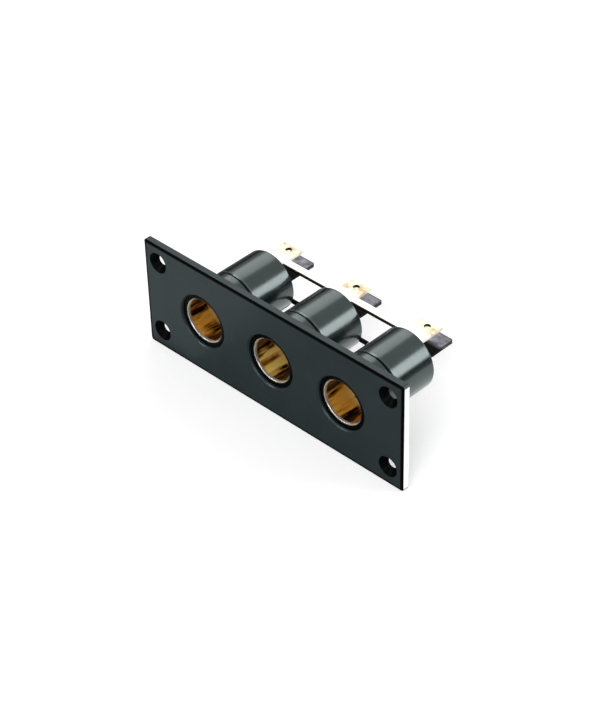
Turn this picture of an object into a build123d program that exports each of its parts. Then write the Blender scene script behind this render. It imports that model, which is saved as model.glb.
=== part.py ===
from build123d import *
from math import radians, tan
import os

# Built-in triple socket: three round low-voltage outlets behind one screwed face plate.
# Millimetres. X runs along the plate, Y points to the back, Z is up.
# The origin is the centre of the plate's rear face, which lies on the panel.

# Face plate
plate_length = 90.0
plate_height = 33.0
plate_thickness = 2.0
plate_corner_radius = 0.8
plate_bevel_width = 0.5
plate_bevel_depth = 0.3
screw_end_margin = 5.0
screw_edge_margin = 5.5
screw_hole_d = 2.8
countersink_d = 6.0
countersink_angle = 90.0
mouth_chamfer = 0.35
socket_pitch = 24.3
socket_names = ("left", "centre", "right")

# Gaps between fitted pieces: round fits by radius, slots on each side
fit_gap = 0.05
slot_gap = 0.1

# Outer contact: a brass sleeve whose bore takes the plug
socket_bore_d = 12.1
sleeve_wall = 0.45
sleeve_spring_length = 7.0
sleeve_rear_length = 1.4
spring_count = 6
spring_slot_width = 1.2
spring_slot_margin = 0.4
spring_bow = 0.35
bead_width = 0.9
bead_height = 0.8
lug_width = 4.0

# Housing and rear cap: black mouldings of one diameter, joined by a spigot
mouth_recess = 0.8
mouth_shoulder = 1.15
body_wall = 2.05
housing_length = 9.8
body_length = 23.3
cap_end_wall = 1.5
cap_edge_radius = 0.6
cap_step = 0.75
spigot_wall = 1.0
joint_chamfer = 0.25

# Insulator disc
insulator_thickness = 2.3

# Centre contact: a slotted spring sleeve with its blade, from one folded strip
contact_bore_d = 5.2
contact_wall = 0.4
contact_finger_length = 3.5
contact_finger_count = 4
contact_finger_slot = 0.7
contact_mouth_chamfer = 0.2
collar_width = 0.5
collar_height = 0.6
tail_width = 4.6
tail_length = 2.1
crank_length = 2.0
crank_radius = 1.2
blade_width = 6.3
blade_thickness = 0.8
centre_blade_chamfer = 0.5
blade_drop = 1.3
centre_blade_length = 13.5

# Negative bus strip, with a blade and a riveted foot for each socket
strip_thickness = 0.8
strip_depth = 2.4
strip_top_height = 5.8
strip_bend_radius = 0.4
foot_rim = 0.3
bus_blade_length = 6.7
bus_blade_chamfer = 1.1
bus_blade_hole_d = 1.7
bus_blade_hole_setback = 3.5

# Rivets that clamp each foot through its cap to the sleeve's lug
rivet_d = 1.6
rivet_head_d = 2.8
rivet_head_thickness = 0.6
rivet_head_gap = 0.1

# Positive link strip, slotted over the three centre blades
link_thickness = 0.8
link_bar_height = 1.0
link_bar_drop = 3.9
link_lug_width = 8.6
link_lug_rim = 1.1

# Screw spacings and diameters that follow from the sizes above
screw_spacing_x = plate_length - 2 * screw_end_margin
screw_spacing_z = plate_height - 2 * screw_edge_margin
sleeve_od = socket_bore_d + 2 * sleeve_wall
housing_bore_d = sleeve_od + 2 * fit_gap
body_d = housing_bore_d + 2 * body_wall
neck_d = sleeve_od + 2 * mouth_shoulder
plate_bore_d = neck_d + 2 * fit_gap
spigot_d = housing_bore_d + 2 * spigot_wall
counterbore_d = spigot_d + 2 * fit_gap
bead_d = sleeve_od + 2 * bead_height
cap_inner_d = housing_bore_d - 2 * cap_step
contact_od = contact_bore_d + 2 * contact_wall
collar_d = contact_od + 2 * collar_height

# Stations along Y, from the plate's rear face
front_y = -plate_thickness
neck_y = front_y + mouth_recess
cap_floor_y = body_length - cap_end_wall
crank_end_y = cap_floor_y - tail_length
collar_end_y = crank_end_y - crank_length
insulator_end_y = collar_end_y - collar_width
sleeve_end_y = insulator_end_y - insulator_thickness
spring_end_y = sleeve_end_y - sleeve_rear_length
spring_start_y = spring_end_y - sleeve_spring_length
bead_start_y = spring_start_y - bead_width
contact_front_y = sleeve_end_y - contact_finger_length
strip_back_y = body_length + strip_thickness + strip_bend_radius + strip_depth
bus_blade_end_y = strip_back_y + bus_blade_length
centre_blade_end_y = body_length + centre_blade_length

# Heights above the sockets' axes
strip_bottom_z = strip_top_height - strip_thickness
rivet_z = strip_bottom_z - strip_bend_radius - rivet_head_gap - rivet_head_d / 2
foot_bottom_z = rivet_z - rivet_head_d / 2 - foot_rim
blade_bottom_z = -blade_drop - blade_thickness / 2
blade_top_z = -blade_drop + blade_thickness / 2
link_top_z = blade_top_z + link_lug_rim


def along_y(diameter, start, end):
    """A round bar on the socket's axis between two stations."""
    return Pos(0, start, 0) * extrude(Plane.XZ * Circle(diameter / 2), amount=start - end)


def block(low, high):
    """A block given by its lowest and highest corners."""
    size = [b - a for a, b in zip(low, high)]
    return Pos(*low) * Box(*size, align=(Align.MIN, Align.MIN, Align.MIN))


def turned(*points):
    """A solid turned about the socket's axis from (radius, station) points."""
    return revolve(make_face(Polyline(*points, close=True)), Axis.Y)


def bent_sheet(points, thickness, radius, side, width):
    """Sheet that follows (station, height) points with rounded bends, centred on the axis."""
    path = FilletPolyline(*[(0, y, z) for y, z in points], radius=radius)
    outline = offset(path, amount=thickness, side=side)
    return extrude(make_face(outline.edges()), amount=width / 2, dir=(1, 0, 0), both=True)


def sockets():
    """Name and X position of each socket."""
    middle = (len(socket_names) - 1) / 2
    return [(name, (i - middle) * socket_pitch) for i, name in enumerate(socket_names)]


def countersunk_hole():
    depth = (countersink_d - screw_hole_d) / 2 / tan(radians(countersink_angle / 2))
    sink_y = front_y + depth
    return turned((0, front_y), (countersink_d / 2, front_y), (screw_hole_d / 2, sink_y),
                  (screw_hole_d / 2, 0), (0, 0))


def mouth_hole():
    edge_y = front_y + mouth_chamfer
    radius = plate_bore_d / 2
    return turned((0, front_y), (radius + mouth_chamfer, front_y), (radius, edge_y),
                  (radius, 0), (0, 0))


def face_plate():
    """Plate with a shallow bevel round its front, three mouths and four countersunk holes."""
    outline = Plane.XZ * RectangleRounded(plate_length, plate_height, plate_corner_radius)
    plate = extrude(outline, amount=plate_thickness)
    front = plate.faces().sort_by(Axis.Y)[0]
    plate = chamfer(front.edges(), plate_bevel_width, plate_bevel_depth, reference=front)
    for _, x in sockets():
        plate -= Pos(x, 0, 0) * mouth_hole()
    for place in GridLocations(screw_spacing_x, screw_spacing_z, 2, 2):
        plate -= Pos(place.position.X, 0, place.position.Y) * countersunk_hole()
    return plate


def socket_housing():
    """Front tube: its neck sits in the plate and its rear counterbore takes the cap."""
    housing = along_y(body_d, 0, housing_length)
    housing = chamfer(housing.edges().sort_by(Axis.Y)[-1], joint_chamfer)
    housing += along_y(neck_d, neck_y, 0)
    housing -= along_y(housing_bore_d, neck_y, housing_length)
    housing -= along_y(counterbore_d, bead_start_y, housing_length)
    return housing


def rear_cap():
    """Rear tube with a closed end, a spigot at the front and a stepped bore."""
    cap = along_y(body_d, housing_length, body_length)
    cap = fillet(cap.edges().sort_by(Axis.Y)[-1], cap_edge_radius)
    cap = chamfer(cap.edges().sort_by(Axis.Y)[0], joint_chamfer)
    cap += along_y(spigot_d, spring_start_y, housing_length)
    cap -= along_y(housing_bore_d, spring_start_y, insulator_end_y)
    cap -= along_y(cap_inner_d, insulator_end_y, cap_floor_y)
    cap -= lug_keyway()
    cap -= Pos(0, 0, rivet_z) * along_y(rivet_d + 2 * fit_gap, cap_floor_y, body_length)
    cap -= blade_slot()
    return cap


def lug_keyway():
    """Groove along the top of the cap's narrow bore, for the sleeve's lug."""
    half = lug_width / 2 + slot_gap
    groove = block((-half, insulator_end_y, 0), (half, cap_floor_y, housing_bore_d))
    return groove & along_y(housing_bore_d, insulator_end_y, cap_floor_y)


def blade_slot():
    half = blade_width / 2 + slot_gap
    return block((-half, cap_floor_y, blade_bottom_z - slot_gap),
                 (half, body_length, blade_top_z + slot_gap))


def outer_contact():
    """Drawn sleeve: plain mouth, trapped bead, bowed springs, rear ring and lug."""
    sleeve = revolve(sleeve_section(), Axis.Y)
    for i in range(spring_count):
        sleeve -= Rot(0, (i + 0.5) * 360 / spring_count, 0) * spring_slot()
    return sleeve + contact_lug()


def sleeve_section():
    inner = socket_bore_d / 2
    outer = sleeve_od / 2
    bead = bead_d / 2
    middle_y = (spring_start_y + spring_end_y) / 2
    edge = sleeve_wall / 2
    mouth = ThreePointArc((inner, neck_y + edge), (inner + edge, neck_y),
                          (outer, neck_y + edge))
    outside = Polyline((outer, neck_y + edge), (outer, bead_start_y), (bead, bead_start_y),
                       (bead, spring_start_y), (outer, spring_start_y))
    outer_bow = ThreePointArc((outer, spring_start_y), (outer - spring_bow, middle_y),
                              (outer, spring_end_y))
    rear = Polyline((outer, spring_end_y), (outer, sleeve_end_y), (inner, sleeve_end_y),
                    (inner, spring_end_y))
    inner_bow = ThreePointArc((inner, spring_end_y), (inner - spring_bow, middle_y),
                              (inner, spring_start_y))
    inside = Line((inner, spring_start_y), (inner, neck_y + edge))
    return make_face([*mouth.edges(), *outside.edges(), *outer_bow.edges(), *rear.edges(),
                      *inner_bow.edges(), *inside.edges()])


def spring_slot():
    """Slot between two springs, cut through the top of the sleeve."""
    half = spring_slot_width / 2
    return block((-half, spring_start_y + spring_slot_margin, 0),
                 (half, spring_end_y - spring_slot_margin, bead_d))


def contact_lug():
    """Tab that runs back from the sleeve and turns down onto the cap's end wall."""
    half = lug_width / 2
    tab = block((-half, spring_end_y, 0), (half, cap_floor_y, sleeve_od))
    tab &= along_y(sleeve_od, spring_end_y, cap_floor_y) - along_y(socket_bore_d, spring_end_y,
                                                                   cap_floor_y)
    face_y = cap_floor_y - sleeve_wall
    turn = block((-half, face_y, foot_bottom_z), (half, cap_floor_y, sleeve_od))
    turn &= along_y(sleeve_od, face_y, cap_floor_y)
    turn -= Pos(0, 0, rivet_z) * along_y(rivet_d + 2 * fit_gap, face_y, cap_floor_y)
    return tab + turn


def contact_insulator():
    """Disc that centres the centre contact behind the sleeve, notched for the lug."""
    disc = along_y(sleeve_od, sleeve_end_y, insulator_end_y)
    disc -= along_y(contact_od + 2 * fit_gap, sleeve_end_y, insulator_end_y)
    half = lug_width / 2 + slot_gap
    notch_z = (socket_bore_d / 2) - slot_gap - sleeve_wall
    disc -= block((-half, sleeve_end_y, notch_z), (half, insulator_end_y, sleeve_od))
    return disc


def centre_contact():
    """Slotted spring sleeve for the plug's tip, cranked out to a flat blade."""
    inner = contact_bore_d / 2
    outer = contact_od / 2
    collar = collar_d / 2
    sleeve = turned((inner + contact_mouth_chamfer, contact_front_y), (outer, contact_front_y),
                    (outer, insulator_end_y), (collar, insulator_end_y),
                    (collar, collar_end_y), (inner, collar_end_y),
                    (inner, contact_front_y + contact_mouth_chamfer))
    for i in range(contact_finger_count):
        angle = (i + 0.5) * 360 / contact_finger_count
        sleeve -= Rot(0, angle, 0) * finger_slot()
    return sleeve + contact_blade()


def finger_slot():
    half = contact_finger_slot / 2
    return block((-half, contact_front_y, 0), (half, sleeve_end_y, contact_od))


def contact_blade():
    base_z = -contact_od / 2
    start_y = collar_end_y - collar_width
    tail = bent_sheet([(start_y, base_z), (collar_end_y, base_z), (crank_end_y, blade_bottom_z),
                       (cap_floor_y, blade_bottom_z)],
                      blade_thickness, crank_radius, Side.LEFT, tail_width)
    blade = block((-blade_width / 2, crank_end_y + crank_radius, blade_bottom_z),
                  (blade_width / 2, centre_blade_end_y, blade_top_z))
    return tail + tip_chamfered(blade, centre_blade_chamfer)


def tip_chamfered(blade, length):
    """Bevels the two rear corners of a flat blade."""
    return chamfer(blade.edges().filter_by(Axis.Z).sort_by(Axis.Y)[-2:], length)


def negative_bus_strip():
    """One stamping: a strip over the caps, a blade and a bent-down foot for each socket."""
    reach = sockets()[-1][1] + blade_width / 2
    front = strip_back_y - strip_depth
    strip = block((-reach, front, strip_bottom_z), (reach, strip_back_y, strip_top_height))
    for _, x in sockets():
        strip += Pos(x, 0, 0) * bus_foot()
        strip += Pos(x, 0, 0) * bus_blade()
    for _, x in sockets():
        strip -= Pos(x, bus_blade_end_y - bus_blade_hole_setback, strip_bottom_z) * Cylinder(
            bus_blade_hole_d / 2, strip_thickness, align=(Align.CENTER, Align.CENTER, Align.MIN))
        strip -= Pos(x, 0, rivet_z) * along_y(rivet_d + 2 * fit_gap, body_length,
                                              body_length + strip_thickness)
    return strip


def bus_foot():
    """Foot flat against the cap, bent back into the strip."""
    return bent_sheet([(body_length, foot_bottom_z), (body_length, strip_top_height),
                       (strip_back_y, strip_top_height)],
                      strip_thickness, strip_thickness + strip_bend_radius, Side.RIGHT, blade_width)


def bus_blade():
    half = blade_width / 2
    front = strip_back_y - strip_depth
    return tip_chamfered(block((-half, front, strip_bottom_z),
                               (half, bus_blade_end_y, strip_top_height)), bus_blade_chamfer)


def bus_rivet():
    """Solid rivet with a flat head at each end."""
    inner_y = cap_floor_y - sleeve_wall
    outer_y = body_length + strip_thickness
    shank = rivet_d / 2
    head = rivet_head_d / 2
    return turned((0, inner_y - rivet_head_thickness), (head, inner_y - rivet_head_thickness),
                  (head, inner_y), (shank, inner_y), (shank, outer_y), (head, outer_y),
                  (head, outer_y + rivet_head_thickness), (0, outer_y + rivet_head_thickness))


def bus_rivets():
    return Compound([Pos(x, 0, rivet_z) * bus_rivet() for _, x in sockets()])


def positive_link_strip():
    """Flat stamping on the caps' rear faces: a bar with a slotted lug for each blade."""
    reach = sockets()[-1][1] + link_lug_width / 2
    bar_z = -link_bar_drop - link_bar_height / 2
    back = body_length + link_thickness
    link = block((-reach, body_length, bar_z), (reach, back, bar_z + link_bar_height))
    half = link_lug_width / 2
    slot = blade_width / 2 + fit_gap
    for _, x in sockets():
        link += Pos(x, 0, 0) * block((-half, body_length, bar_z), (half, back, link_top_z))
    for _, x in sockets():
        link -= Pos(x, 0, 0) * block((-slot, body_length, blade_bottom_z - fit_gap),
                                     (slot, back, blade_top_z + fit_gap))
    return link


socket_pieces = {
    "socket_housing": socket_housing,
    "rear_cap": rear_cap,
    "outer_contact": outer_contact,
    "contact_insulator": contact_insulator,
    "centre_contact": centre_contact,
}

os.makedirs("parts", exist_ok=True)
export_step(face_plate(), "parts/face_plate.step")
for piece_name, make_piece in socket_pieces.items():
    piece = make_piece()
    for socket_name, x in sockets():
        export_step(Pos(x, 0, 0) * piece, f"parts/{piece_name}_{socket_name}.step")
export_step(negative_bus_strip(), "parts/negative_bus_strip.step")
export_step(positive_link_strip(), "parts/positive_link_strip.step")
export_step(bus_rivets(), "parts/bus_rivets.step")
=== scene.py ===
import math

import bpy
from mathutils import Matrix, Vector


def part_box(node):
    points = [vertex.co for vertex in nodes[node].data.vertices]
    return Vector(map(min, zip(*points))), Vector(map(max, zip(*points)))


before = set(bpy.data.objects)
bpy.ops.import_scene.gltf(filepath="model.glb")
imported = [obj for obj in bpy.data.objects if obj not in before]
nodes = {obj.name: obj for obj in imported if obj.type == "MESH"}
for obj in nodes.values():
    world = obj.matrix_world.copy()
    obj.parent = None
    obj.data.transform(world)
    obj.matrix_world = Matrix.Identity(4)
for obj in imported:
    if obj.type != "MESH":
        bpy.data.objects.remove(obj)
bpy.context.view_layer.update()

MM = 0.001


# Stations of the part. Y runs from the plate back to the tips of the blades.

SOCKETS = ("left", "centre", "right")
PITCH = 24.3 * MM
PLATE_LOW, PLATE_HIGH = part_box("face_plate")
PLATE_FRONT_Y = PLATE_LOW[1]
MOUTH_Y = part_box("outer_contact_centre")[0][1]
JOINT_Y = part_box("socket_housing_centre")[1][1]
STRIP_FRONT_Y = 24.5 * MM
# Where the blades' painted shade ends.
SHADE_END_Y = 32.0 * MM
BLADE_HOLE_INSET = 3.5 * MM
BLADE_HOLE_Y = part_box("negative_bus_strip")[1][1] - BLADE_HOLE_INSET
BLADE_END_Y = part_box("centre_contact_centre")[1][1]
BLADE_HOLE_RADIUS = 0.85 * MM
BLADE_HALF = 3.15 * MM

# A point nearer to a face than this counts as on it. The floor lies this far below the plate.
HAIR = 0.02 * MM


# Camera at the photograph's viewing angle, from focal length, azimuth, elevation and roll

FOCAL_PX = 2189.97
AZIMUTH = math.radians(44.851)
ELEVATION = math.radians(38.790)
ROLL = math.radians(-1.503)
DISTANCE = 549.68 * MM
OFFSET_RIGHT = 7.630 * MM
OFFSET_UP = 0.542 * MM
SENSOR = 36.0
IMAGE_LONG_SIDE = 720.0
CLIP_START = 0.01
CLIP_END = 50.0


def make_camera():
    back = Vector((math.sin(AZIMUTH) * math.cos(ELEVATION),
                   -math.cos(AZIMUTH) * math.cos(ELEVATION), math.sin(ELEVATION)))
    level = Vector((math.cos(AZIMUTH), math.sin(AZIMUTH), 0))
    upright = back.cross(level)
    right = level * math.cos(ROLL) + upright * math.sin(ROLL)
    up = upright * math.cos(ROLL) - level * math.sin(ROLL)
    data = bpy.data.cameras.new("camera")
    data.sensor_width = SENSOR
    data.lens = FOCAL_PX * SENSOR / IMAGE_LONG_SIDE
    data.clip_start = CLIP_START
    data.clip_end = CLIP_END
    camera = bpy.data.objects.new("camera", data)
    place = back * DISTANCE + right * OFFSET_RIGHT + up * OFFSET_UP + Vector((0, PLATE_FRONT_Y, 0))
    camera.matrix_world = Matrix.Translation(place) @ Matrix((right, up, back)).transposed().to_4x4()
    bpy.context.scene.collection.objects.link(camera)
    bpy.context.scene.camera = camera


# Node helpers

EDGE_SOFTNESS = 0.08 * MM
EDGE_SAMPLES = 4


def new_material(name):
    material = bpy.data.materials.new(name)
    material.use_nodes = True
    tree = material.node_tree
    shader = tree.nodes["Principled BSDF"]
    return material, tree, shader


def add(tree, kind, **inputs):
    """A shader node with its input values set. Keys are socket names with _ for a space."""
    node = tree.nodes.new(kind)
    for key, value in inputs.items():
        node.inputs[key.replace("_", " ")].default_value = value
    return node


def object_coordinates(tree, stretch=(1, 1, 1)):
    """The row frame's own coordinates, multiplied by stretch."""
    coordinates = tree.nodes.new("ShaderNodeTexCoord")
    mapping = add(tree, "ShaderNodeMapping", Scale=stretch)
    tree.links.new(coordinates.outputs["Object"], mapping.inputs["Vector"])
    return mapping.outputs["Vector"]


def row_frame(tree):
    """The row frame's X, Y and Z as three values."""
    split = tree.nodes.new("ShaderNodeSeparateXYZ")
    tree.links.new(object_coordinates(tree), split.inputs["Vector"])
    return split.outputs["X"], split.outputs["Y"], split.outputs["Z"]


def noise_texture(tree, vector, scale, detail=4.0, roughness=0.55):
    node = add(tree, "ShaderNodeTexNoise", Scale=scale, Detail=detail, Roughness=roughness)
    tree.links.new(vector, node.inputs["Vector"])
    return node.outputs["Fac"]


def ramp(tree, factor, low, high, start=0.35, end=0.65):
    """Colour that runs from low to high as factor goes from start to end."""
    node = tree.nodes.new("ShaderNodeValToRGB")
    node.color_ramp.elements[0].position = start
    node.color_ramp.elements[0].color = (*low, 1)
    node.color_ramp.elements[1].position = end
    node.color_ramp.elements[1].color = (*high, 1)
    tree.links.new(factor, node.inputs["Fac"])
    return node.outputs["Color"]


def spread(tree, factor, low, high, start=0.3, end=0.7):
    """Value that runs from low to high as factor goes from start to end."""
    node = add(tree, "ShaderNodeMapRange", From_Min=start, From_Max=end, To_Min=low, To_Max=high)
    tree.links.new(factor, node.inputs["Value"])
    return node.outputs["Result"]


def rising(tree, value, start, end):
    """0 up to start and 1 from end."""
    return spread(tree, value, 0.0, 1.0, start, end)


def falling(tree, value, start, end):
    """1 up to start and 0 from end."""
    return spread(tree, value, 1.0, 0.0, start, end)


def maths(tree, operation, a, b=0.0):
    node = tree.nodes.new("ShaderNodeMath")
    node.operation = operation
    for socket, value in zip(node.inputs, (a, b)):
        if isinstance(value, (int, float)):
            socket.default_value = value
        else:
            tree.links.new(value, socket)
    return node.outputs["Value"]


def times(tree, a, b):
    return maths(tree, "MULTIPLY", a, b)


def plus(tree, a, b):
    return maths(tree, "ADD", a, b)


def minus(tree, a, b):
    return maths(tree, "SUBTRACT", a, b)


def above(tree, value, limit):
    """1 where value is over limit, else 0."""
    return maths(tree, "GREATER_THAN", value, limit)


def below(tree, value, limit):
    """1 where value is under limit, else 0."""
    return maths(tree, "LESS_THAN", value, limit)


def inside(tree, value, low, high):
    """1 where value lies between low and high, else 0."""
    return times(tree, above(tree, value, low), below(tree, value, high))


def length(tree, a, b):
    """Length of the vector with the sides a and b."""
    return maths(tree, "SQRT", plus(tree, times(tree, a, a), times(tree, b, b)))


def from_nearest_socket(tree, x):
    """X measured from the axis of the nearest socket."""
    nearest = maths(tree, "ROUND", maths(tree, "DIVIDE", x, PITCH))
    return minus(tree, x, times(tree, nearest, PITCH))


def blend_colours(tree, factor, a, b):
    node = tree.nodes.new("ShaderNodeMix")
    node.data_type = "RGBA"
    for name, value in (("Factor", factor), ("A", a), ("B", b)):
        socket = next(s for s in node.inputs if s.name == name and s.enabled)
        if isinstance(value, tuple):
            socket.default_value = (*value, 1)
        else:
            tree.links.new(value, socket)
    return next(s for s in node.outputs if s.enabled)


def blend_values(tree, factor, a, b):
    node = tree.nodes.new("ShaderNodeMix")
    node.data_type = "FLOAT"
    for name, value in (("Factor", factor), ("A", a), ("B", b)):
        tree.links.new(value, node.inputs[name])
    return node.outputs["Result"]


def bump(tree, shader, height, strength, distance):
    """Surface relief from height, on edges that are a little rounded in their shading."""
    node = add(tree, "ShaderNodeBump", Strength=strength, Distance=distance)
    soft = add(tree, "ShaderNodeBevel", Radius=EDGE_SOFTNESS)
    soft.samples = EDGE_SAMPLES
    tree.links.new(soft.outputs["Normal"], node.inputs["Normal"])
    tree.links.new(height, node.inputs["Height"])
    tree.links.new(node.outputs["Normal"], shader.inputs["Normal"])


# In the materials below, a noise is given by its scale, its detail and sometimes its roughness, and a relief
# by its strength and its distance. Two values for one roughness or shine are its least and its most.

# Black of the plate and the bodies

BLACK_TINT = (0.86, 1.0, 1.0)
# Pitch black is painted shade: it blackens the plate's bevel and countersinks, and the bodies inside the plate and
# in their groove.
PITCH_BLACK = (0.0015, 0.0020, 0.0020)


# Face plate

COAT_DARK = (0.0145, 0.0235, 0.0265)
COAT_LIGHT = (0.0205, 0.0315, 0.0355)
COAT_CLOUD = (90.0, 3.0)
COAT_GRAIN = (2600.0, 3.0)
COAT_RELIEF = (0.25, 0.02 * MM)
COAT_ROUGHNESS = (0.36, 0.46)
COAT_SHINE = 0.5
LONG_EDGE_LOSS = 0.16
# Share of the shine kept where shade is painted black.
MATT_SHARE = 0.06
BARE_METAL = (0.86, 0.86, 0.85)
SAW_GRAIN = (700.0, 3.0)
SAW_STRETCH = (1, 1, 12)
SAWN_ROUGHNESS = (0.28, 0.42)
# Reaches of the bevel and the countersinks, where shade is painted black.
RIM_REACH = 1.1 * MM
RIM_BLUR = 0.4 * MM
BEVEL_DEPTH = 0.3 * MM
SCREW_REGION = 8.5 * MM


def painted_shade_parts(tree, y, reach, rise):
    """1 on the bevel round the plate's front and in the countersinks, where shade is painted black, else 0."""
    reach_rim = PLATE_HIGH[0] - RIM_REACH
    rise_rim = PLATE_HIGH[2] - RIM_REACH
    rim = maths(tree, "MAXIMUM", rising(tree, reach, reach_rim, reach_rim + RIM_BLUR),
                rising(tree, rise, rise_rim, rise_rim + RIM_BLUR))
    bevel = times(tree, rim, below(tree, y, PLATE_FRONT_Y + BEVEL_DEPTH))
    screws = times(tree, inside(tree, reach, PLATE_HIGH[0] - SCREW_REGION, reach_rim),
                   below(tree, rise, rise_rim))
    sink = times(tree, screws, inside(tree, y, PLATE_FRONT_Y + HAIR / 2, -HAIR))
    return maths(tree, "MAXIMUM", bevel, sink)


def plate_material():
    """Satin black coat with a fine grain, with shade painted black and little shine in the countersinks and on the
    bevel, and bare metal where the strip was sawn to length."""
    material, tree, shader = new_material("plate_black")
    where = object_coordinates(tree)
    cloud = noise_texture(tree, where, *COAT_CLOUD)
    grain = noise_texture(tree, where, *COAT_GRAIN)
    x, y, z = row_frame(tree)
    reach = maths(tree, "ABSOLUTE", x)
    rise = maths(tree, "ABSOLUTE", z)
    # Where shade is painted black, with little shine.
    painted_shade = painted_shade_parts(tree, y, reach, rise)
    long_edge = above(tree, rise, PLATE_HIGH[2] - HAIR)
    sawn_end = above(tree, reach, PLATE_HIGH[0] - HAIR)

    mottle = plus(tree, times(tree, cloud, 0.5), times(tree, grain, 0.5))
    coat = blend_colours(tree, painted_shade, ramp(tree, mottle, COAT_DARK, COAT_LIGHT), PITCH_BLACK)
    tree.links.new(blend_colours(tree, sawn_end, coat, BARE_METAL), shader.inputs["Base Color"])
    tree.links.new(sawn_end, shader.inputs["Metallic"])

    shine = minus(tree, COAT_SHINE, times(tree, long_edge, LONG_EDGE_LOSS))
    shine = times(tree, shine, spread(tree, painted_shade, 1.0, MATT_SHARE, 0.0, 1.0))
    tree.links.new(shine, shader.inputs["Specular IOR Level"])
    shader.inputs["Specular Tint"].default_value = (*BLACK_TINT, 1)

    sawn = noise_texture(tree, object_coordinates(tree, SAW_STRETCH), *SAW_GRAIN)
    rough = blend_values(tree, sawn_end, spread(tree, grain, *COAT_ROUGHNESS), spread(tree, sawn, *SAWN_ROUGHNESS))
    tree.links.new(rough, shader.inputs["Roughness"])
    bump(tree, shader, grain, *COAT_RELIEF)
    return material


# Housings and rear caps

BODY_DARK = (0.0045, 0.0105, 0.0102)
BODY_LIGHT = (0.0070, 0.0155, 0.0150)
BODY_CLOUD = (160.0, 4.0)
BODY_SKIN = (3200.0, 3.0)
BODY_RINGS = (260.0, 3.0)
RING_STRETCH = (1, 9, 1)
BODY_RELIEF = (0.22, 0.015 * MM)
BODY_ROUGHNESS = (0.14, 0.26)
BODY_SHINE = (0.04, 0.85)
# Painted highlight: a pale band just behind the groove stands in for light caught by the cap's front chamfer.
PAINTED_HIGHLIGHT_EDGE = (0.17, 0.19, 0.19)
PLATE_BLUR = 0.4 * MM
GROOVE_WIDTH = 0.65 * MM
HIGHLIGHT_START = 0.05 * MM
HIGHLIGHT_END = 0.45 * MM


def body_material():
    """Moulded satin plastic with a fine skin and faint flow clouds. Shade is painted black, with little shine,
    inside the plate and in the groove where a housing meets its cap, and a pale highlight is painted beside that
    groove."""
    material, tree, shader = new_material("body_black")
    where = object_coordinates(tree)
    cloud = noise_texture(tree, where, *BODY_CLOUD)
    skin = noise_texture(tree, where, *BODY_SKIN)
    rings = noise_texture(tree, object_coordinates(tree, RING_STRETCH), *BODY_RINGS)
    y = row_frame(tree)[1]
    # Painted shade: black inside the plate, where the neck is unlit, and black in the groove.
    outside = rising(tree, y, -PLATE_BLUR, PLATE_BLUR)
    groove = inside(tree, y, JOINT_Y - GROOVE_WIDTH, JOINT_Y + HIGHLIGHT_START)
    clear_of_painted_dark = times(tree, outside, minus(tree, 1.0, groove))
    # The painted highlight beside the groove.
    painted_highlight = inside(tree, y, JOINT_Y + HIGHLIGHT_START, JOINT_Y + HIGHLIGHT_END)

    tone = blend_colours(tree, clear_of_painted_dark, PITCH_BLACK, ramp(tree, cloud, BODY_DARK, BODY_LIGHT))
    tone = blend_colours(tree, times(tree, painted_highlight, cloud), tone, PAINTED_HIGHLIGHT_EDGE)
    tree.links.new(tone, shader.inputs["Base Color"])
    tree.links.new(spread(tree, clear_of_painted_dark, *BODY_SHINE, 0.0, 1.0), shader.inputs["Specular IOR Level"])
    shader.inputs["Specular Tint"].default_value = (*BLACK_TINT, 1)
    marks = times(tree, plus(tree, cloud, rings), 0.5)
    tree.links.new(spread(tree, marks, *BODY_ROUGHNESS), shader.inputs["Roughness"])
    bump(tree, shader, plus(tree, skin, rings), *BODY_RELIEF)
    return material


# Stamped and turned metal

METAL_GRAIN = (900.0, 4.0)
METAL_ROUGHNESS = (0.34, 0.48)
STAMPED_CLOUD = (420.0, 5.0, 0.6)
METAL_RELIEF = (0.10, 0.01 * MM)

RIVET_DARK = (0.70, 0.50, 0.24)
RIVET_LIGHT = (0.80, 0.60, 0.32)
RIVET_CLOUD = (220.0, 5.0, 0.6)
RIVET_ROUGHNESS = (0.18, 0.30)

BLADE_DARK = (0.110, 0.108, 0.124)
BLADE_LIGHT = (0.230, 0.225, 0.250)
BLADE_STRETCH = (9, 1, 9)
BLADE_EDGE = (0.012, 0.012, 0.012)
BLADE_EDGE_SHARE = 0.85
BLADE_EDGE_OUTER = 0.20 * MM
BLADE_EDGE_INNER = 0.45 * MM
# Painted shade: the blade is painted black and not metallic near its root, where it lies in shade by the cap. The
# shine below is the whole blade's.
PAINTED_SHADE_BLACK = (0.004, 0.004, 0.004)
BLADE_SHINE = 0.02
SHADE_BLUR = 0.8 * MM
SHADE_RAGGED = (0.7, 1.0)

STRIP_DARK = (0.76, 0.73, 0.66)
STRIP_LIGHT = (0.86, 0.83, 0.76)
STRIP_STRETCH = (1, 9, 9)
# Painted shade: the strip's front edge between the feet and the walls of the blade holes are painted dark.
STRIP_SHADE = (0.05, 0.04, 0.028)
STRIP_SHADE_DEPTH = 0.30 * MM
# Painted light and shade: the blades round their holes are painted cream and tan in place of how light falls on
# them.
PAINTED_CREAM = (0.74, 0.69, 0.54)
PAINTED_TAN = (0.49, 0.37, 0.215)
PAINTED_TONE_SPAN = (0.46, 0.62)
PAINTED_FRONT = (-2.8 * MM, -2.0 * MM)
PAINTED_BACK = (1.4 * MM, 2.6 * MM)
HOLE_WALL = 0.06 * MM
FOOT_MARGIN = 0.05 * MM


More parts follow.
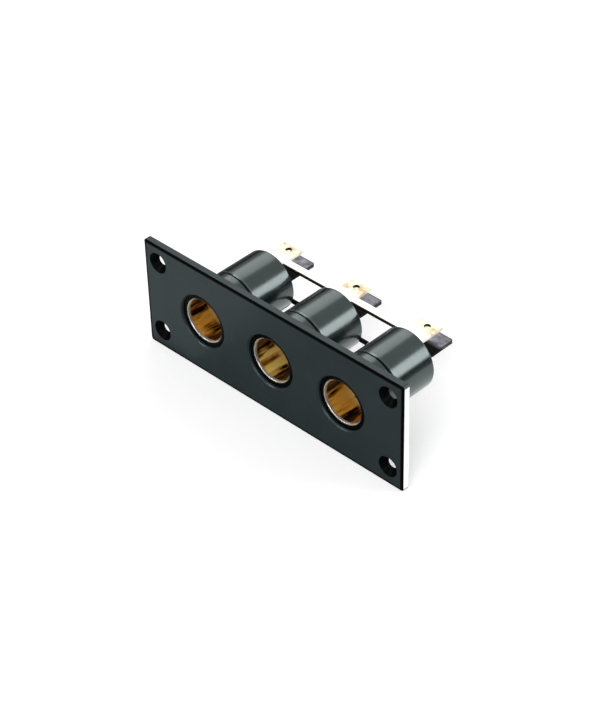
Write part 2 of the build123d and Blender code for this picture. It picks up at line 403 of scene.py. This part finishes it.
def rivet_material():
    """Brass with turned rings and faint clouds."""
    material, tree, shader = new_material("rivet_brass")
    cloud = noise_texture(tree, object_coordinates(tree), *RIVET_CLOUD)
    grain = noise_texture(tree, object_coordinates(tree, RING_STRETCH), *METAL_GRAIN)
    tree.links.new(ramp(tree, cloud, RIVET_DARK, RIVET_LIGHT), shader.inputs["Base Color"])
    shader.inputs["Metallic"].default_value = 1.0
    tree.links.new(spread(tree, grain, *RIVET_ROUGHNESS), shader.inputs["Roughness"])
    bump(tree, shader, grain, *METAL_RELIEF)
    return material


def blade_material():
    """Grey oxidised metal with grain along the blade, darker along its sides and tip, and with shade painted
    black, not metallic, from its root up to its soldered joint."""
    material, tree, shader = new_material("contact_grey")
    x, y = row_frame(tree)[:2]
    cloud = noise_texture(tree, object_coordinates(tree), *STAMPED_CLOUD)
    grain = noise_texture(tree, object_coordinates(tree, BLADE_STRETCH), *METAL_GRAIN)
    aside = maths(tree, "ABSOLUTE", from_nearest_socket(tree, x))
    edge = maths(tree, "MAXIMUM",
                 rising(tree, aside, BLADE_HALF - BLADE_EDGE_INNER, BLADE_HALF - BLADE_EDGE_OUTER),
                 rising(tree, y, BLADE_END_Y - BLADE_EDGE_INNER, BLADE_END_Y - BLADE_EDGE_OUTER))
    # Painted shade: black and not metallic nearer the root.
    out_of_shade = rising(tree, y, SHADE_END_Y - SHADE_BLUR, SHADE_END_Y + SHADE_BLUR)

    colour = ramp(tree, cloud, BLADE_DARK, BLADE_LIGHT)
    colour = blend_colours(tree, times(tree, edge, BLADE_EDGE_SHARE), colour, BLADE_EDGE)
    ragged = times(tree, out_of_shade, spread(tree, cloud, *SHADE_RAGGED))
    tree.links.new(blend_colours(tree, ragged, PAINTED_SHADE_BLACK, colour), shader.inputs["Base Color"])
    tree.links.new(out_of_shade, shader.inputs["Metallic"])
    shader.inputs["Specular IOR Level"].default_value = BLADE_SHINE
    tree.links.new(spread(tree, grain, *METAL_ROUGHNESS), shader.inputs["Roughness"])
    bump(tree, shader, grain, *METAL_RELIEF)
    return material


def bus_material():
    """Pale tinned brass with shade painted dark on its front edge and in the blade holes, and light and shade
    painted in cream and tan on the blades round their holes.
    """
    material, tree, shader = new_material("bus_brass")
    x, y = row_frame(tree)[:2]
    cloud = noise_texture(tree, object_coordinates(tree), *STAMPED_CLOUD)
    grain = noise_texture(tree, object_coordinates(tree, STRIP_STRETCH), *METAL_GRAIN)
    # Where the blades are painted cream and tan as light and shade.
    painted_tones = times(tree, rising(tree, y, *(BLADE_HOLE_Y + way for way in PAINTED_FRONT)),
                 falling(tree, y, *(BLADE_HOLE_Y + way for way in PAINTED_BACK)))
    aside = from_nearest_socket(tree, x)
    off_hole = length(tree, aside, minus(tree, y, BLADE_HOLE_Y))
    # Painted shade in the blade holes and on the strip's front edge between the feet.
    shaded_hole_wall = below(tree, off_hole, BLADE_HOLE_RADIUS + HOLE_WALL)
    between_feet = above(tree, maths(tree, "ABSOLUTE", aside), BLADE_HALF + FOOT_MARGIN)
    shaded_front_edge = times(tree, between_feet, below(tree, y, STRIP_FRONT_Y + STRIP_SHADE_DEPTH))
    shade_mask = maths(tree, "MAXIMUM", shaded_hole_wall, shaded_front_edge)

    colour = ramp(tree, cloud, STRIP_DARK, STRIP_LIGHT)
    colour = blend_colours(tree, painted_tones, colour, ramp(tree, cloud, PAINTED_CREAM, PAINTED_TAN, *PAINTED_TONE_SPAN))
    tree.links.new(blend_colours(tree, shade_mask, colour, STRIP_SHADE), shader.inputs["Base Color"])
    shader.inputs["Metallic"].default_value = 1.0
    tree.links.new(spread(tree, grain, *METAL_ROUGHNESS), shader.inputs["Roughness"])
    bump(tree, shader, grain, *METAL_RELIEF)
    return material


# Outer contacts

BORE_STREAKS = (95.0, 3.0, 0.5)
BORE_STRETCH = (6, 1, 6)
# Painted shade: the side of each bore away from the light is painted dull brown.
SHADED_DARK = (0.008, 0.003, 0.002)
SHADED_LIGHT = (0.50, 0.14, 0.015)
SHADED_SPAN = (0.46, 0.66)
# Painted light: the side where the light falls is painted clean gold.
GOLD_DARK = (0.88, 0.32, 0.03)
GOLD_LIGHT = (1.0, 0.70, 0.18)
GOLD_SPAN = (0.40, 0.56)
OUTER_ORANGE = (0.90, 0.36, 0.03)
OUTER_SHARE = 0.8
# Direction, in X and Z, towards the side painted as lit.
LIT_WAY = (-0.66, -0.75)
RAGGEDNESS = 7 * MM
LIT_SPAN = (4.7 * MM, 6.0 * MM)
# Painted highlight deeper in on the lit side.
DEEP_HIGHLIGHT_GOLD = (0.95, 0.60, 0.18)
DEEP_HIGHLIGHT_SHARE = 0.7
DEEP_HIGHLIGHT_STATIONS = (5.2 * MM, 6.0 * MM)
DEEP_HIGHLIGHT_SPAN = (3.6 * MM, 5.2 * MM)
MOUTH_SPAN = (0.55 * MM, 0.85 * MM)
# At the mouth's rim, a painted highlight on the lit side and painted shade on the far side.
RIM_SHADE = (0.06, 0.03, 0.012)
RIM_HIGHLIGHT = (0.97, 0.91, 0.78)
RIM_SPAN = (-3.0 * MM, 0.5 * MM)
BORE_METAL = 0.25
MOUTH_METAL = 0.85
BORE_RELIEF = (0.15, 0.02 * MM)
BORE_ROUGHNESS = (0.20, 0.34)
MOUTH_ROUGHNESS = 0.18


def sleeve_material():
    """Drawn brass with streaks along the bore. Light and shade are painted into the colour: the side where light
    falls is painted clean gold, the rest is painted shade in dull brown, and the outer sockets are more orange. A
    highlight is painted on the lit side deeper in and at the mouth's rim, whose far side is painted dark."""
    material, tree, shader = new_material("contact_brass")
    x, y, z = row_frame(tree)
    streaks = noise_texture(tree, object_coordinates(tree, BORE_STRETCH), *BORE_STREAKS)
    # Distance towards the lower-left side, where light is painted, and away from the shade painted opposite it.
    side = plus(tree, times(tree, from_nearest_socket(tree, x), LIT_WAY[0]), times(tree, z, LIT_WAY[1]))
    ragged = plus(tree, side, times(tree, minus(tree, streaks, 0.5), RAGGEDNESS))
    outer = above(tree, maths(tree, "ABSOLUTE", x), PITCH / 2)
    deep_highlight = times(tree, rising(tree, y, *DEEP_HIGHLIGHT_STATIONS), rising(tree, ragged, *DEEP_HIGHLIGHT_SPAN))
    at_mouth = falling(tree, y, *(MOUTH_Y + depth for depth in MOUTH_SPAN))

    shaded = ramp(tree, streaks, SHADED_DARK, SHADED_LIGHT, *SHADED_SPAN)
    gold = ramp(tree, streaks, GOLD_DARK, GOLD_LIGHT, *GOLD_SPAN)
    gold = blend_colours(tree, times(tree, outer, OUTER_SHARE), gold, OUTER_ORANGE)
    brass = blend_colours(tree, rising(tree, ragged, *LIT_SPAN), shaded, gold)
    brass = blend_colours(tree, times(tree, deep_highlight, DEEP_HIGHLIGHT_SHARE), brass, DEEP_HIGHLIGHT_GOLD)
    rim = blend_colours(tree, rising(tree, side, *RIM_SPAN), RIM_SHADE, RIM_HIGHLIGHT)
    tree.links.new(blend_colours(tree, at_mouth, brass, rim), shader.inputs["Base Color"])
    tree.links.new(spread(tree, at_mouth, BORE_METAL, MOUTH_METAL, 0.0, 1.0), shader.inputs["Metallic"])
    rough = plus(tree, spread(tree, streaks, *BORE_ROUGHNESS), times(tree, at_mouth, MOUTH_ROUGHNESS))
    tree.links.new(rough, shader.inputs["Roughness"])
    bump(tree, shader, times(tree, streaks, minus(tree, 1.0, at_mouth)), *BORE_RELIEF)
    return material


# Contact insulators

LAMINATE_DARK = (0.42, 0.25, 0.11)
LAMINATE_LIGHT = (0.55, 0.36, 0.18)
LAMINATE_RELIEF = (0.2, 0.02 * MM)
LAMINATE_ROUGHNESS = 0.45
THREADS = (500.0, 2.0)
WARP_STRETCH = (8, 1, 1)
WEFT_STRETCH = (1, 1, 8)


def laminate_material():
    """Tan pressed laminate with the weave of its cloth."""
    material, tree, shader = new_material("insulator")
    warp = noise_texture(tree, object_coordinates(tree, WARP_STRETCH), *THREADS)
    weft = noise_texture(tree, object_coordinates(tree, WEFT_STRETCH), *THREADS)
    weave = times(tree, plus(tree, warp, weft), 0.5)
    tree.links.new(ramp(tree, weave, LAMINATE_DARK, LAMINATE_LIGHT), shader.inputs["Base Color"])
    shader.inputs["Roughness"].default_value = LAMINATE_ROUGHNESS
    bump(tree, shader, weave, *LAMINATE_RELIEF)
    return material


def dress(node, material):
    """Gives a CAD node its material."""
    data = nodes[node].data
    data.materials.clear()
    data.materials.append(material)


def dress_all():
    body = body_material()
    brass = sleeve_material()
    grey = blade_material()
    laminate = laminate_material()
    dress("face_plate", plate_material())
    for name in SOCKETS:
        dress("socket_housing_" + name, body)
        dress("rear_cap_" + name, body)
        dress("outer_contact_" + name, brass)
        dress("contact_insulator_" + name, laminate)
        dress("centre_contact_" + name, grey)
    dress("negative_bus_strip", bus_material())
    dress("positive_link_strip", grey)
    dress("bus_rivets", rivet_material())


# Floor, world and lamps

WHITE = (1, 1, 1, 1)
FLOOR_HALF = 6.0
FLOOR_COLOUR = (0.80, 0.80, 0.80)
FLOOR_IN_GLOSS = (0.22, 0.22, 0.22)
FLOOR_ROUGHNESS = 0.9
FLOOR_GLOW = (0.44, 0.95)
FLOOR_GLOW_REACH = (0.30, 0.60)
WORLD_DIFFUSE = 0.32
SWEEP_RISE = (0.10, 0.45)
SWEEP_LIGHT = (0.05, 0.85)
SWEEP_TURN = (-0.25, 0.35)
AIM = Vector((0, 0.012, 0))
LAMP_DISTANCE = 0.45
CARD_LIFT = 0.1 * MM

# Name, direction from the object, side of the square in metres, radiance
LAMPS = (
    ("lamp_back_left", (-0.46, 0.58, 0.67), 0.24, 1.8),
    ("lamp_back_right", (0.73, 0.55, 0.40), 0.20, 5.8),
    ("lamp_behind", (0.42, 0.86, 0.30), 0.16, 3.5),
    ("lamp_front_right", (0.45, -0.75, 0.55), 0.16, 9.5),
    ("lamp_front_left", (-0.50, -0.63, 0.60), 0.17, 6.8),
)

# Name, lowest X and Y, highest X and Y, radiance
CARDS = (
    ("card_back_right", (0.026, 0.012), (0.120, 0.090), 1.05),
    ("card_between", (-0.020, 0.014), (0.024, 0.060), 1.3),
    ("card_end", (0.0455, -0.004), (0.085, 0.0115), 1.3),
    ("card_front_left", (-0.130, -0.080), (-0.030, -0.004), 0.3),
)


def make_floor():
    """Pale floor that the camera sees as nearly white, with the object's shadow on it, and that is dimmer
    in reflections."""
    mesh = bpy.data.meshes.new("floor")
    height = PLATE_LOW[2] - HAIR
    corners = [(-FLOOR_HALF, -FLOOR_HALF, height), (FLOOR_HALF, -FLOOR_HALF, height),
               (FLOOR_HALF, FLOOR_HALF, height), (-FLOOR_HALF, FLOOR_HALF, height)]
    mesh.from_pydata(corners, [], [(0, 1, 2, 3)])
    floor = bpy.data.objects.new("floor", mesh)
    bpy.context.scene.collection.objects.link(floor)
    material, tree, shader = new_material("floor_white")
    shader.inputs["Roughness"].default_value = FLOOR_ROUGHNESS
    shader.inputs["Specular IOR Level"].default_value = 0.0
    path = tree.nodes.new("ShaderNodeLightPath")
    tree.links.new(blend_colours(tree, path.outputs["Is Glossy Ray"], FLOOR_COLOUR, FLOOR_IN_GLOSS),
                   shader.inputs["Base Color"])
    x, y = row_frame(tree)[:2]
    glow = spread(tree, length(tree, x, y), *FLOOR_GLOW, *FLOOR_GLOW_REACH)
    tree.links.new(times(tree, path.outputs["Is Camera Ray"], glow), shader.inputs["Emission Strength"])
    shader.inputs["Emission Color"].default_value = WHITE
    mesh.materials.append(material)


def make_world():
    """White for the camera and plain for diffuse light. For reflections it is pale behind and above
    the object, as a studio sweep is, and dim in front and near the horizon."""
    world = bpy.data.worlds.new("studio")
    bpy.context.scene.world = world
    world.use_nodes = True
    tree = world.node_tree
    background = tree.nodes["Background"]
    background.inputs["Color"].default_value = WHITE
    path = tree.nodes.new("ShaderNodeLightPath")
    direction = tree.nodes.new("ShaderNodeTexCoord")
    split = tree.nodes.new("ShaderNodeSeparateXYZ")
    tree.links.new(direction.outputs["Generated"], split.inputs["Vector"])
    sweep = times(tree, rising(tree, split.outputs["Z"], *SWEEP_RISE),
                  spread(tree, split.outputs["Y"], *SWEEP_LIGHT, *SWEEP_TURN))
    glossy = times(tree, path.outputs["Is Glossy Ray"], sweep)
    not_glossy = minus(tree, 1.0, path.outputs["Is Glossy Ray"])
    plain = plus(tree, times(tree, path.outputs["Is Camera Ray"], 1.0 - WORLD_DIFFUSE), WORLD_DIFFUSE)
    strength = plus(tree, glossy, times(tree, not_glossy, plain))
    tree.links.new(strength, background.inputs["Strength"])


def area_lamp(name, width, height, radiance, place):
    """Rectangular lamp of even radiance that the camera doesn't see."""
    data = bpy.data.lights.new(name, "AREA")
    data.shape = "RECTANGLE"
    data.size = width
    data.size_y = height
    data.energy = radiance * math.pi * width * height
    lamp = bpy.data.objects.new(name, data)
    lamp.visible_camera = False
    lamp.matrix_world = place
    bpy.context.scene.collection.objects.link(lamp)


def make_lights():
    for name, direction, side, radiance in LAMPS:
        away = Vector(direction).normalized()
        turn = away.to_track_quat("Z", "Y").to_matrix().to_4x4()
        area_lamp(name, side, side, radiance, Matrix.Translation(AIM + away * LAMP_DISTANCE) @ turn)
    face_up = Matrix.Rotation(math.pi, 4, "X")
    for name, low, high, radiance in CARDS:
        middle = Vector(((low[0] + high[0]) / 2, (low[1] + high[1]) / 2, PLATE_LOW[2] + CARD_LIFT))
        area_lamp(name, high[0] - low[0], high[1] - low[1], radiance, Matrix.Translation(middle) @ face_up)


bpy.context.scene.view_settings.view_transform = "Standard"
make_camera()
dress_all()
make_floor()
make_world()
make_lights()
